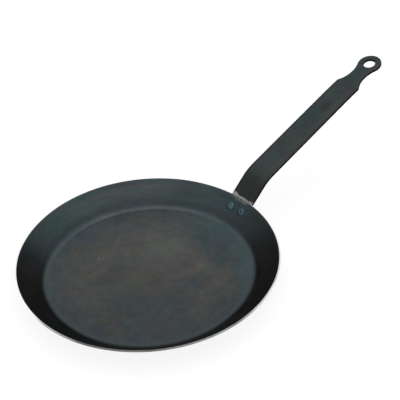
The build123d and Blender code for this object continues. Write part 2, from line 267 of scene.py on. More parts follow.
# =========================================================================
# materials
# =========================================================================
def dish_inside():
    """Blued steel: heat tints in soft patches on the floor, cloudy bands round the wall, fine scratches; painted light
    and shade by side, round the wall and along the bend.
    """
    m, g, sh = material("blued_steel_inside", metallic=0.90, edge_tint=(0.45, 0.5, 0.52))
    p = g.coord
    wobble = g.vscale(g.vmath("SUBTRACT", g.noise(p, 26.0, 3.0, 0.6, colour=True), (0.5, 0.5, 0.5)), 0.030)
    q = g.vmath("ADD", p, wobble)
    cx, cy, r, z = around(g, p)
    # 1 on the side away from the viewer's place, -1 on the near side
    far = g.math("ADD", g.math("MULTIPLY", cx, 0.583), g.math("MULTIPLY", cy, 0.812))

    # soft smudges on the floor, long ones nearly along the handle's line
    run = g.mapping(g.mapping(q, rot=(0, 0, math.radians(-10))), scale=(32.0, 80.0, 40.0))
    smudge = g.noise(run, 1.0, 2.0, 0.45)
    cloud = g.noise(q, 30.0, 5.0, 0.62)
    broad = g.noise(q, 13.0, 2.0, 0.5)
    fine = g.noise(p, 170.0, 4.0, 0.6)

    cool = g.mix(cloud, (0.0430, 0.0540, 0.0590), (0.0560, 0.0650, 0.0670))
    # painted light: the floor's far side is paler
    cool = g.mix(g.math("MULTIPLY", g.ramp(far, -0.1, 0.8), 0.6), cool, (0.0640, 0.0720, 0.0750))
    warm = g.mix(g.ramp(broad, 0.35, 0.65), (0.0620, 0.0640, 0.0615), (0.0730, 0.0735, 0.0685))
    middle = g.math("ADD", g.patch(q, (-7, 5), (94, 88), -36, 0.50), g.math("MULTIPLY", g.math("SUBTRACT", cloud, 0.5), 0.8), clamp=True)
    floor = g.mix(middle, cool, warm)
    # painted shade: the near part of the floor is darker and a little cooler
    x, y, _ = g.split(p)
    ahead = g.math("ADD", g.math("MULTIPLY", x, 0.583), g.math("MULTIPLY", y, 0.812))
    floor = g.mix(g.ramp(ahead, 0.000, -0.050, 0.0, 0.70), floor, (0.0410, 0.0490, 0.0525))
    # smudges, light ones and dark ones
    floor = g.mix(g.ramp(smudge, 0.50, 0.68, 0.0, 0.9), floor, g.vscale(floor, 1.06))
    floor = g.mix(g.ramp(smudge, 0.48, 0.32, 0.0, 0.9), floor, g.vscale(floor, 0.94))

    # painted light: paler again right up to the bend on the far side
    rise = g.math("MULTIPLY", g.ramp(far, 0.10, 0.70), g.ramp(r, 0.078, 0.090))
    floor = g.mix(rise, floor, g.vscale(floor, 1.18))

    # browner, bluer and greener heat marks; millimetres, half sizes, degrees
    for at, size, turn, tint, k in (
        ((32, 14), (32, 26), -36, (0.0770, 0.0800, 0.0745), 0.65),
        ((8, 9), (20, 14), -36, (0.0730, 0.0760, 0.0710), 0.50),
        ((-38, 54), (26, 30), -36, (0.0640, 0.0670, 0.0590), 0.65),
        ((-12, 50), (12, 20), -36, (0.0700, 0.0730, 0.0640), 0.45),
        ((-6, 62), (16, 15), -10, (0.0620, 0.0640, 0.0560), 0.60),
        ((26, 68), (22, 10), -36, (0.0640, 0.0630, 0.0700), 0.50),
        ((30, 46), (14, 10), -36, (0.0730, 0.0700, 0.0640), 0.45),
        ((53, 41), (24, 13), -36, (0.0700, 0.0730, 0.0715), 0.55),
        ((63, 11), (10, 9), -36, (0.0720, 0.0660, 0.0640), 0.50),
        ((54, 0), (12, 12), -36, (0.0580, 0.0660, 0.0700), 0.45),
        ((56, -13), (8, 10), -36, (0.0760, 0.0680, 0.0590), 0.55),
        ((44, 68), (16, 9), -50, (0.0660, 0.0690, 0.0590), 0.50),
        ((26, 81), (15, 9), -36, (0.0500, 0.0620, 0.0660), 0.70),
        ((-16, 82), (23, 15), -24, (0.0480, 0.0590, 0.0690), 0.75),
        ((-40, 79), (20, 8), 25, (0.0470, 0.0620, 0.0660), 0.50),
        ((-31, 75), (13, 9), -36, (0.0660, 0.0590, 0.0610), 0.55),
        ((-60, 55), (11, 22), -36, (0.0560, 0.0640, 0.0560), 0.60),
        ((40, -68), (12, 9), 32, (0.0600, 0.0550, 0.0500), 0.45),
        ((-84, 36), (22, 9), 112, (0.0480, 0.0620, 0.0640), 0.60),
        ((-30, 18), (25, 12), -8, (0.0530, 0.0535, 0.0570), 0.70),
        ((-19, 20), (12, 9), -20, (0.0500, 0.0570, 0.0540), 0.45),
        ((5, -4), (19, 8), -12, (0.0590, 0.0620, 0.0610), 0.50),
        ((23, -18), (14, 14), -36, (0.0620, 0.0620, 0.0700), 0.55),
        ((31, -27), (5, 6), -36, (0.0860, 0.0720, 0.0550), 0.70),
        ((20, -41), (11, 13), -36, (0.0400, 0.0540, 0.0650), 0.80),
        ((8, -34), (12, 15), -36, (0.0500, 0.0560, 0.0590), 0.55),
        ((31, -55), (17, 14), -36, (0.0720, 0.0700, 0.0620), 0.65),
        ((12, -60), (13, 13), -36, (0.0760, 0.0700, 0.0580), 0.60),
        ((30, -69), (20, 14), -30, (0.0640, 0.0625, 0.0585), 0.55),
        ((48, -52), (11, 18), -36, (0.0700, 0.0640, 0.0570), 0.60),
        ((0, -64), (24, 12), -20, (0.0610, 0.0600, 0.0620), 0.50),
        ((-43, -22), (26, 22), -36, (0.0440, 0.0520, 0.0560), 0.55),
        ((-30, -40), (16, 18), -36, (0.0420, 0.0500, 0.0560), 0.50),
        ((-16, -42), (15, 15), -36, (0.0420, 0.0550, 0.0540), 0.50),
        ((-15, -23), (12, 6), -36, (0.0640, 0.0570, 0.0600), 0.55),
        ((-29, -63), (20, 8), -20, (0.0530, 0.0480, 0.0520), 0.50),
        ((-48, 2), (14, 15), -36, (0.0520, 0.0560, 0.0550), 0.45),
        ((-70, -1), (15, 15), -36, (0.0560, 0.0600, 0.0500), 0.55),
        ((-72, 28), (19, 9), -36, (0.0640, 0.0590, 0.0600), 0.50),
        ((-85, 13), (18, 14), -36, (0.0430, 0.0510, 0.0580), 0.60),
        ((-67, -25), (16, 14), -36, (0.0620, 0.0550, 0.0470), 0.50),
        ((-80, -27), (22, 12), -50, (0.0390, 0.0450, 0.0560), 0.60),
        ((-46, -68), (22, 11), -36, (0.0500, 0.0510, 0.0510), 0.30),
        ((-70, -42), (13, 9), -36, (0.0570, 0.0510, 0.0460), 0.50),
        ((46, -77), (12, 9), -36, (0.0430, 0.0540, 0.0610), 0.45),
        ((2, 88), (14, 7), -36, (0.0540, 0.0680, 0.0790), 0.50),
        ((8, -88), (18, 11), -20, (0.0350, 0.0440, 0.0530), 0.60),
        ((-4, -80), (24, 9), -24, (0.0600, 0.0585, 0.0555), 0.60),
    ):
        floor = g.mix(g.oval(q, at, size, turn, 0.25, k), floor, tint)
    # blue-green along the handle's side of the floor, with a sharper border
    floor = g.mix(g.oval(q, (74, -16), (21, 29), -36, 0.60, 0.70), floor, (0.0440, 0.0590, 0.0640))
    floor = g.mix(g.oval(q, (72, 4), (14, 16), -36, 0.35, 0.75), floor, (0.0430, 0.0620, 0.0640))
    floor = g.mix(g.oval(q, (67, -57), (22, 10), 48, 0.35, 0.55), floor, (0.0440, 0.0620, 0.0650))
    floor = g.mix(g.oval(q, (70, -22), (9, 13), -36, 0.30, 0.55), floor, (0.0430, 0.0500, 0.0660))
    # lighter and darker clouds over them
    for at, size, turn, k in (
        ((34, 19), (38, 34), -36, 1.17),
        ((-9, 39), (28, 18), -36, 1.12),
        ((58, -33), (17, 13), -36, 0.90),
        ((-66, 4), (22, 14), -36, 1.09),
        ((3, -15), (24, 15), -20, 0.87),
        ((-24, 2), (14, 12), -36, 0.92),
        ((-50, 29), (34, 17), -30, 0.89),
        ((25, -45), (16, 14), -36, 0.90),
        ((0, 56), (14, 9), -36, 1.08),
        ((34, -59), (10, 9), -36, 1.08),
        ((72, -45), (14, 8), -36, 0.93),
        ((20, 35), (10, 9), -36, 0.92),
        ((0, -38), (11, 9), -36, 0.91),
        ((34, -20), (8, 8), -36, 0.93),
    ):
        floor = g.mix(g.oval(q, at, size, turn), floor, g.vscale(floor, k))
    # blue-green along the bend, on the handle's side and opposite it
    edge = g.ramp(r, 0.072, 0.088)
    there = g.math("ADD", g.math("MULTIPLY", cx, 0.960), g.math("MULTIPLY", cy, -0.280))
    floor = g.mix(g.math("MULTIPLY", g.math("MULTIPLY", edge, g.ramp(there, 0.60, 0.92)), 0.60), floor, (0.0485, 0.0725, 0.0765))
    there = g.math("ADD", g.math("MULTIPLY", cx, -0.570), g.math("MULTIPLY", cy, 0.820))
    floor = g.mix(g.math("MULTIPLY", g.math("MULTIPLY", edge, g.ramp(there, 0.72, 0.97)), 0.35), floor, (0.0450, 0.0640, 0.0690))
    floor = g.mix(g.math("MULTIPLY", g.patch(p, (-24, 47), (1.7, 1.5), -36, 0.4), 0.7), floor, (0.135, 0.135, 0.131))

    # small uneven spots in the temper colours
    speck = g.vmath("ADD", g.vscale(g.noise(p, 120.0, 3.0, 0.6, colour=True), 0.26), (0.870, 0.870, 0.870))
    speck = g.vmath("MULTIPLY", speck, g.vmath("ADD", g.vscale(wobble, 5.0), (0.995, 1.002, 0.998)))
    speck = g.vscale(speck, g.ramp(g.noise(p, 150.0, 4.0, 0.75), 0.30, 0.70, 0.87, 1.13, smooth=False))
    floor = g.vmath("MULTIPLY", floor, speck)

    # wall: cooler, with bands that run round it; painted shade makes it darker and greyer on the near side
    ring = g.join(g.math("MULTIPLY", cx, 3.2), g.math("MULTIPLY", cy, 3.2), g.math("MULTIPLY", r, 200.0))
    band = g.noise(ring, 1.0, 4.0, 0.6)
    wall = g.mix(g.ramp(band, 0.3, 0.72), (0.0340, 0.0460, 0.0520), (0.0450, 0.0560, 0.0610))
    blush = g.ramp(g.noise(q, 17.0, 3.0, 0.6), 0.52, 0.66)
    green = g.ramp(g.noise(g.vmath("ADD", q, (0.11, 0.47, 0.0)), 21.0, 3.0, 0.55), 0.50, 0.64)
    # painted light: the far wall lighter towards its top
    back = g.math("ADD", g.math("MULTIPLY", cx, 0.36), g.math("MULTIPLY", cy, 0.933))
    far_wall_painted_light = g.math("MULTIPLY", g.ramp(back, 0.70, 0.96), g.ramp(z, 0.006, 0.020, 0.45, 1.0))
    wall = g.mix(g.math("MULTIPLY", far_wall_painted_light, 0.65), wall, (0.0680, 0.0770, 0.0800))
    # painted shade: the near side of the wall darker and greyer
    wall = g.mix(g.ramp(far, 0.45, -0.15), wall, g.mix(band, (0.0280, 0.0285, 0.0280), (0.0380, 0.0380, 0.0370)))
    tinted = g.ramp(far, 0.20, 0.60)
    wall = g.mix(g.math("MULTIPLY", blush, g.math("MULTIPLY", tinted, 0.50)), wall, (0.0560, 0.0580, 0.0680))
    wall = g.mix(g.math("MULTIPLY", green, g.math("MULTIPLY", tinted, 0.60)), wall, (0.0430, 0.0610, 0.0590))
    # painted shade: the far wall darker at its foot, just above the bend
    wall_foot_painted_shade = g.math("MULTIPLY", g.ramp(r, (FLOOR_R + 2.0) * MM, (FLOOR_R + 3.5) * MM), g.ramp(r, (FLOOR_R + 10.0) * MM, (FLOOR_R + 5.0) * MM))
    wall = g.mix(g.math("MULTIPLY", wall_foot_painted_shade, tinted), wall, g.vscale(wall, 0.84))
    for at, size, turn, tint, k in (
        ((-27, 104), (18, 8), 15, (0.0360, 0.0600, 0.0560), 0.60),
        ((52, 87), (20, 7), 149, (0.0460, 0.0470, 0.0640), 0.55),
        ((54, 101), (18, 5), 151, (0.0640, 0.0530, 0.0470), 0.50),
        ((8, 106), (20, 8), 176, (0.0560, 0.0620, 0.0740), 0.50),
        ((-50, 93), (18, 8), 28, (0.0400, 0.0520, 0.0540), 0.50),
        ((-80, 68), (16, 8), 48, (0.0520, 0.0500, 0.0570), 0.50),
    ):
        wall = g.mix(g.math("MULTIPLY", g.patch(q, at, size, turn), k), wall, tint)
    # painted light and shade round the wall: lighter and darker by the direction from the pan's middle in degrees
    wall = g.mix(1.0, wall, g.band(g.math("ARCTAN2", cy, cx), [(deg, (k, k, k)) for deg, k in (
        (-180, 0.61), (-160, 0.46), (-120, 0.49), (-86, 0.65), (-60, 0.67), (-30, 0.40), (-2, 0.46), (15, 0.58),
        (30, 0.47), (75, 0.445), (105, 0.49), (121, 0.47), (134, 0.31), (154, 0.42), (170, 0.60), (180, 0.61),
    )]), "MULTIPLY")
    wall = g.vscale(wall, 2.0)
    # browner on the near side, a little greener on the far side
    wall = g.mix(g.ramp(far, 0.45, -0.50), wall, g.vmath("MULTIPLY", wall, (1.04, 0.98, 0.89)))
    wall = g.mix(tinted, wall, g.vmath("MULTIPLY", wall, (0.97, 1.01, 0.975)))
    # painted light and shade on the far wall: lighter from halfway up, darker and bluer just under the rim
    to = g.math("ADD", g.math("MULTIPLY", cx, 0.391), g.math("MULTIPLY", cy, 0.921))
    top = g.math("MULTIPLY", g.ramp(to, 0.860, 0.960), g.ramp(z, 0.0165, 0.0205))
    wall = g.mix(g.math("MULTIPLY", g.ramp(to, 0.84, 0.97), g.ramp(z, 0.006, 0.012)), wall, g.vscale(wall, 1.07))
    wall = g.mix(top, wall, g.vmath("MULTIPLY", wall, (0.78, 0.84, 0.88)))
    # thin tinted streaks that run round the wall
    streak = g.vmath("ADD", g.vscale(g.noise(ring, 1.7, 3.0, 0.6, colour=True), 0.42), (0.790, 0.790, 0.790))
    streak = g.vscale(streak, g.ramp(g.noise(ring, 2.6, 3.0, 0.65), 0.30, 0.70, 0.93, 1.07, smooth=False))
    wall = g.vmath("MULTIPLY", wall, streak)
    on_wall = g.ramp(r, (FLOOR_R - 1.5) * MM, (FLOOR_R + 3.0) * MM)
    col = g.mix(on_wall, floor, wall)
    # the bend is a little brighter: partly rubbed, partly a painted highlight along it
    bend = g.math("MULTIPLY", g.ramp(r, (FLOOR_R - 7.0) * MM, (FLOOR_R - 1.0) * MM), g.ramp(r, (FLOOR_R + 4.0) * MM, FLOOR_R * MM))
    col = g.mix(g.math("MULTIPLY", bend, g.ramp(far, 0.9, 0.2, 0.15, 0.45)), col, (0.0535, 0.0715, 0.0750))
    # painted shade: the bend's glint dimmed on the far side, most of all straight across
    glint = g.math("MULTIPLY", g.ramp(r, (FLOOR_R - 2.6) * MM, (FLOOR_R - 0.6) * MM), g.ramp(r, (FLOOR_R + 2.8) * MM, (FLOOR_R + 0.8) * MM))
    col = g.mix(g.math("MULTIPLY", glint, g.ramp(far, 0.25, 0.95, 0.0, 0.80)), col, g.vscale(col, 0.84))
    col = g.mix(g.math("MULTIPLY", glint, g.ramp(far, 0.90, 1.0, 0.0, 0.90)), col, g.vscale(col, 0.82))
    # painted light: the bend lighter on the near side
    low = g.math("MULTIPLY", g.ramp(r, (FLOOR_R - 2.0) * MM, FLOOR_R * MM), g.ramp(r, (FLOOR_R + 9.0) * MM, (FLOOR_R + 1.0) * MM))
    col = g.mix(g.math("MULTIPLY", low, g.ramp(far, -0.70, -0.95, 0.0, 0.75)), col, (0.1050, 0.1080, 0.1060))

    # heat tint round the rivets
    for s in (1, -1):
        col = g.mix(g.math("MULTIPLY", g.patch(p, (RIVET_X, s * RIVET_Y), (8.5, 9.5), 0, 0.35), 0.6), col, (0.0330, 0.0580, 0.0650))
    col = g.mix(g.math("MULTIPLY", g.patch(q, (104.4, -0.4), (5, 8), 0, 0.3), 0.5), col, (0.0420, 0.0580, 0.0430))
    col = g.mix(g.math("MULTIPLY", g.patch(q, (105.2, -9.5), (5, 7), 0, 0.3), 0.5), col, (0.0480, 0.0420, 0.0520))

    # rubbed bare on the wall's top edge above the handle
    rub = g.noise(p, 480.0, 3.0, 0.65)
    deep = g.math("MULTIPLY", g.ramp(y, 0.0105, 0.0040, 0.0002, 0.0021), g.ramp(y, -0.0130, -0.0070))
    deep = g.math("ADD", deep, g.math("MULTIPLY", g.math("SUBTRACT", rub, 0.5), 0.0034))
    under = g.math("SUBTRACT", (RIM_IN_R + 0.1) * MM, r)
    smear = g.math("MULTIPLY", g.ramp(g.math("SUBTRACT", under, deep), 0.0015, -0.0007), g.ramp(x, 0.100, 0.110))
    smear = g.math("MULTIPLY", smear, g.math("MULTIPLY", g.ramp(y, 0.0120, 0.0100), g.ramp(y, -0.0145, -0.0120)))
    col = g.mix(g.math("MULTIPLY", smear, 0.75), col, g.mix(g.ramp(rub, 0.35, 0.65), (0.085, 0.087, 0.086), (0.215, 0.215, 0.210)))

    # fine scratches, most of them along the smudges
    scr = g.noise(g.mapping(g.mapping(p, rot=(0, 0, math.radians(-14))), scale=(45.0, 1500.0, 900.0)), 1.0, 2.0, 0.5)
    scr2 = g.noise(g.mapping(g.mapping(p, rot=(0, 0, math.radians(38))), scale=(60.0, 1900.0, 900.0)), 1.0, 2.0, 0.5)
    lines = g.math("MAXIMUM", g.ramp(scr, 0.66, 0.76), g.math("MULTIPLY", g.ramp(scr2, 0.70, 0.80), 0.7))
    col = g.mix(g.math("MULTIPLY", lines, 0.07), col, (0.150, 0.155, 0.155))
    col = g.mix(g.math("MULTIPLY", g.math("SUBTRACT", fine, 0.35, True), 0.45), col, g.vscale(col, 0.72))
    g.put(sh.inputs["Base Color"], col)

    rough = g.ramp(g.math("ADD", g.math("MULTIPLY", cloud, 0.6), g.math("MULTIPLY", fine, 0.4)), 0.3, 0.7, 0.28, 0.40)
    g.put(sh.inputs["Roughness"], rough)
    b1 = g.bump(g.noise(p, 420.0, 4.0, 0.6), 0.10, 0.0006)
    b2 = g.bump(lines, 0.10, 0.0002, b1)
    g.put(sh.inputs["Normal"], b2)
    return m


def dish_outside():
    m, g, sh = material("blued_steel_outside", edge_tint=(0.45, 0.5, 0.52))
    p = g.coord
    cx, cy, r, z = around(g, p)
    cloud = g.noise(p, 24.0, 5.0, 0.62, 0.4)
    ring = g.join(g.math("MULTIPLY", cx, 3.0), g.math("MULTIPLY", cy, 3.0), g.math("MULTIPLY", r, 200.0))
    band = g.noise(ring, 1.0, 4.0, 0.6)
    col = g.mix(cloud, (0.0300, 0.0400, 0.0450), (0.0470, 0.0550, 0.0570))
    col = g.mix(g.ramp(band, 0.35, 0.7, 0.0, 0.6), col, (0.0330, 0.0390, 0.0460))
    blush = g.ramp(g.noise(p, 15.0, 3.0, 0.6), 0.50, 0.68)
    col = g.mix(g.math("MULTIPLY", blush, 0.6), col, (0.0520, 0.0460, 0.0420))
    # rubbed on the ring it stands on
    rub = g.math("MULTIPLY", g.ramp(z, 0.0012, 0.0), g.math("MULTIPLY", g.ramp(r, 0.070, 0.090), g.noise(p, 90.0, 4.0, 0.7)))
    col = g.mix(g.math("MULTIPLY", rub, 0.8), col, (0.120, 0.122, 0.120))
    scr = g.noise(g.mapping(p, rot=(0, 0, 0.5), scale=(60.0, 1300.0, 800.0)), 1.0, 2.0, 0.5)
    lines = g.ramp(scr, 0.66, 0.77)
    col = g.mix(g.math("MULTIPLY", lines, 0.25), col, (0.150, 0.155, 0.155))
    g.put(sh.inputs["Base Color"], col)
    g.put(sh.inputs["Roughness"], g.ramp(cloud, 0.3, 0.7, 0.30, 0.44))
    g.put(sh.inputs["Normal"], g.bump(g.noise(p, 380.0, 4.0, 0.6), 0.12, 0.0006))
    return m


def rim_cut():
    """The trimmed edge: bare steel with shear marks across it, knocked bright beside the handle; painted highlights on
    the near side and both sides, painted shade on the far side.
    """
    m, g, sh = material("bare_cut_rim")
    p = g.coord
    cx, cy, r, z = around(g, p)
    far = g.math("ADD", g.math("MULTIPLY", cx, 0.583), g.math("MULTIPLY", cy, 0.812))
    marks = g.noise(g.join(g.math("MULTIPLY", cx, 260.0), g.math("MULTIPLY", cy, 260.0), g.math("MULTIPLY", r, 260.0)), 1.0, 3.0, 0.6)
    spots = g.noise(p, 60.0, 4.0, 0.65)
    # painted highlight for the near side, with darker spots
    bright = g.mix(g.ramp(marks, 0.3, 0.7), (0.155, 0.155, 0.150), (0.240, 0.240, 0.234))
    bright = g.mix(g.ramp(spots, 0.52, 0.72, 0.0, 0.65), bright, (0.115, 0.115, 0.113))
    # painted shade for the far side
    dull = g.mix(g.ramp(marks, 0.3, 0.7), (0.016, 0.019, 0.020), (0.030, 0.034, 0.035))
    # painted highlight for both sides, near white
    half = g.mix(g.ramp(marks, 0.3, 0.7), (0.780, 0.780, 0.770), (0.870, 0.870, 0.860))
    edge = g.vscale(g.vmath("SUBTRACT", g.noise(p, 35.0, 2.0, 0.5, colour=True), (0.5, 0.5, 0.5)), 1.0)
    ex, _, _ = g.split(edge)
    where = g.math("ADD", far, g.math("MULTIPLY", ex, 0.35))
    where = g.math("SUBTRACT", where, g.ramp(cx, 0.80, 0.92, 0.0, 0.22))
    # painted light and shade by side: dull on the far side, near white on both sides, bright on the near side
    col = g.mix(g.ramp(where, 0.66, 0.95), half, dull)
    col = g.mix(g.ramp(where, -0.45, -0.90), col, bright)
    # painted light and shade round the rim, lighter and darker by the direction from the pan's middle in degrees
    col = g.mix(1.0, col, g.band(g.math("ARCTAN2", cy, cx), [(deg, (k, k, k)) for deg, k in (
        (-180, 0.88), (-172, 0.90), (-154, 0.61), (-122, 0.60), (-110, 0.90), (-94, 1.05), (-62, 0.50),
        (-34, 0.73), (15, 0.80), (50, 0.66), (85, 0.66), (110, 0.80), (180, 0.88),
    )]), "MULTIPLY")
    col = g.vscale(col, 1.43)
    # knocked bright beside the handle
    x, y, _ = g.split(p)
    root = g.math("MULTIPLY", g.ramp(g.math("ABSOLUTE", y), 0.0155, 0.0125), g.ramp(x, 0.100, 0.110))
    col = g.mix(g.math("MULTIPLY", root, 0.9), col, g.vscale(bright, 1.45))
    # the burr's inner line stays dark from the blueing
    inner = g.ramp(r, (RIM_IN_R + 0.35) * MM, (RIM_IN_R - 0.05) * MM)
    col = g.mix(g.math("MULTIPLY", inner, g.ramp(where, 0.55, 0.90, 0.25, 0.7)), col, (0.050, 0.056, 0.058))
    g.put(sh.inputs["Base Color"], col)
    rough = g.ramp(spots, 0.3, 0.7, 0.34, 0.50)
    sides = g.math("MULTIPLY", g.ramp(where, 0.90, 0.60), g.ramp(where, -0.85, -0.50))
    sides = g.math("MULTIPLY", sides, g.math("SUBTRACT", 1.0, root))
    # a frosted cut on both sides, which scatters the light more than it mirrors it; with the near-white colour there
    # this paints a highlight on both sides
    g.put(sh.inputs["Metallic"], g.ramp(sides, 0.0, 1.0, 1.0, 0.20))
    g.put(sh.inputs["Roughness"], g.math("ADD", rough, g.math("MULTIPLY", sides, 0.25)))
    g.put(sh.inputs["Normal"], g.bump(marks, 0.25, 0.0003))
    return m


def strip_face():
    """The handle's broad faces: blued, mottled, with painted shade at the root, darker along the edges, scuffed bare by
    the rim.
    """
    m, g, sh = material("blued_strip_face", metallic=0.92, edge_tint=(0.45, 0.5, 0.52))
    p = g.coord
    x, y, z = g.split(p)
    q = g.vmath("ADD", p, g.vscale(g.vmath("SUBTRACT", g.noise(p, 40.0, 3.0, 0.6, colour=True), (0.5, 0.5, 0.5)), 0.02))
    cloud = g.noise(q, 38.0, 5.0, 0.6)
    col = g.mix(g.ramp(cloud, 0.3, 0.7), (0.0322, 0.0415, 0.0420), (0.0408, 0.0490, 0.0485))
    blush = g.ramp(g.noise(q, 27.0, 3.0, 0.6), 0.50, 0.66)
    col = g.mix(g.math("MULTIPLY", blush, 0.55), col, (0.0400, 0.0400, 0.0415))
    teal = g.ramp(g.noise(g.vmath("ADD", q, (0.3, 0.1, 0.2)), 21.0, 2.0, 0.5), 0.52, 0.66)
    col = g.mix(g.math("MULTIPLY", teal, 0.5), col, (0.0270, 0.0470, 0.0450))
    # uneven blueing along the strip; millimetres, half sizes
    for at, size, tint, k in (
        ((163, 2), (11, 12), (0.0370, 0.0510, 0.0550), 0.60),
        ((221, 4), (10, 9), (0.0290, 0.0370, 0.0370), 0.60),
        ((237, -1), (11, 8), (0.0270, 0.0285, 0.0300), 0.70),
        ((252, 7), (9, 8), (0.0370, 0.0540, 0.0510), 0.60),
        ((272, 0), (10, 8), (0.0370, 0.0375, 0.0390), 0.60),
    ):
        col = g.mix(g.math("MULTIPLY", g.patch(q, at, size, 0, 0.3), k), col, tint)
    # browner and a little paler along the right-hand side
    col = g.mix(g.ramp(y, -0.0035, -0.0095), col, g.vmath("MULTIPLY", col, (1.17, 1.06, 1.02)))
    # painted shade: darker towards the root, over the rise and the bend
    root = g.ramp(x, 0.152, 0.126)
    col = g.mix(g.math("MULTIPLY", root, 0.75), col, (0.0270, 0.0275, 0.0270))
    grain = g.noise(g.mapping(p, scale=(60.0, 1100.0, 60.0)), 1.0, 3.0, 0.6)
    col = g.mix(g.ramp(grain, 0.60, 0.75, 0.0, 0.20), col, (0.110, 0.115, 0.115))
    fine = g.noise(p, 320.0, 3.0, 0.6)
    col = g.mix(g.ramp(fine, 0.45, 0.75, 0.0, 0.35), col, (0.022, 0.028, 0.030))
    # darker scale left along both edges, ragged
    rag = g.math("MULTIPLY", g.math("SUBTRACT", g.noise(p, 160.0, 3.0, 0.6), 0.5), 0.0022)
    side = g.math("ADD", g.math("ABSOLUTE", y), rag)
    scale = g.ramp(side, (HALF_W - 3.4) * MM, (HALF_W - 0.6) * MM, 0.0, 0.70)
    scale = g.math("MULTIPLY", scale, g.ramp(y, -0.0020, 0.0020, 0.45, 1.0))
    col = g.mix(scale, col, (0.0150, 0.0175, 0.0175))
    # bare metal scuffed next to the rim, more of it towards one side
    wear = g.noise(p, 520.0, 3.0, 0.65)
    reach = g.math("ADD", g.ramp(y, 0.0050, 0.0120, 0.0014, 0.0032), g.ramp(y, -0.0080, -0.0120, 0.0, 0.0006))
    reach = g.math("ADD", reach, g.math("MULTIPLY", g.math("SUBTRACT", wear, 0.5), 0.0018))
    past = g.math("SUBTRACT", g.vmath("LENGTH", g.join(x, y, 0.0)), 0.1193)
    bare = g.math("MULTIPLY", g.ramp(g.math("SUBTRACT", past, reach), 0.0005, -0.0003), g.ramp(past, -0.0012, -0.0004))
    bare = g.math("MULTIPLY", bare, g.ramp(g.math("ABSOLUTE", y), 0.0141, 0.0136))
    # on the top face only: how far below that face's plane the surface is
    px, pz = (RIM_R - sa * SEAT_DEPTH) * MM, (RIM_OUT_Z + ca * SEAT_DEPTH) * MM
    below = g.math("SUBTRACT", g.math("MULTIPLY", g.math("SUBTRACT", x, px), sa), g.math("MULTIPLY", g.math("SUBTRACT", z, pz), ca))
    bare = g.math("MULTIPLY", bare, g.ramp(below, 0.0014, 0.0006))
    col = g.mix(g.math("MULTIPLY", bare, 0.85), col, g.mix(g.ramp(wear, 0.35, 0.65), (0.150, 0.150, 0.147), (0.400, 0.400, 0.390)))
    g.put(sh.inputs["Base Color"], col)
    g.put(sh.inputs["Roughness"], g.ramp(cloud, 0.3, 0.7, 0.30, 0.44))
    b = g.bump(g.noise(p, 380.0, 4.0, 0.6), 0.14, 0.0006)
    g.put(sh.inputs["Normal"], g.bump(g.noise(p, 70.0, 2.0, 0.5), 0.12, 0.0012, b))
    return m


def strip_edge():
    """The handle's sheared sides: dark scale, with the shear's marks through the thickness."""
    m, g, sh = material("dark_sheared_edge", edge_tint=(0.06, 0.06, 0.06))
    p = g.coord
    shear = g.noise(g.mapping(p, scale=(900.0, 900.0, 90.0)), 1.0, 3.0, 0.6)
    cloud = g.noise(p, 120.0, 4.0, 0.6)
    col = g.mix(g.ramp(shear, 0.3, 0.7), (0.0050, 0.0054, 0.0054), (0.0125, 0.0132, 0.0132))
    col = g.mix(g.ramp(cloud, 0.60, 0.76, 0.0, 0.5), col, (0.0300, 0.0310, 0.0300))
    g.put(sh.inputs["Base Color"], col)
    g.put(sh.inputs["Roughness"], g.ramp(cloud, 0.3, 0.7, 0.46, 0.62))
    g.put(sh.inputs["Normal"], g.bump(shear, 0.35, 0.0003))
    return m


def rivet_steel():
    """Rivets: a bluer temper colour, with painted light on the heads' near skirts; one darker than the other."""
    m, g, sh = material("blued_rivet", edge_tint=(0.5, 0.6, 0.65))
    p = g.coord
    x, y, _ = g.split(p)
    cloud = g.noise(p, 260.0, 4.0, 0.6)
    one = g.mix(g.ramp(cloud, 0.3, 0.7), (0.0450, 0.0860, 0.1000), (0.0710, 0.1190, 0.1290))
    two = g.mix(g.ramp(cloud, 0.3, 0.7), (0.0370, 0.0690, 0.0780), (0.0570, 0.0950, 0.1000))
    col = g.mix(g.ramp(y, -0.001, 0.001), two, one)
    # painted light: the heads' skirts on the near side are painted lighter, against the shade there
    out_y = g.math("SUBTRACT", g.math("ABSOLUTE", y), RIVET_Y * MM)
    sign = g.math("SIGN", y)
    side = g.math("ADD", g.math("MULTIPLY", g.math("MULTIPLY", out_y, sign), -0.81), g.math("MULTIPLY", g.math("SUBTRACT", x, RIVET_X * MM), -0.58))
    col = g.mix(g.ramp(side, 0.0022, 0.0038, 0.0, 0.8), col, g.vscale(col, 2.0))
    pits = g.ramp(g.noise(p, 900.0, 2.0, 0.5), 0.62, 0.72)
    col = g.mix(g.math("MULTIPLY", pits, 0.5), col, (0.030, 0.045, 0.050))
    g.put(sh.inputs["Base Color"], col)
    g.put(sh.inputs["Roughness"], g.ramp(cloud, 0.3, 0.7, 0.30, 0.44))
    g.put(sh.inputs["Normal"], g.bump(g.noise(p, 700.0, 3.0, 0.6), 0.2, 0.0003))
    return m


M_IN, M_OUT, M_RIM = dish_inside(), dish_outside(), rim_cut()
M_FACE, M_EDGE, M_RIVET = strip_face(), strip_edge(), rivet_steel()


# =========================================================================
# dish
# =========================================================================
SEGS = 480


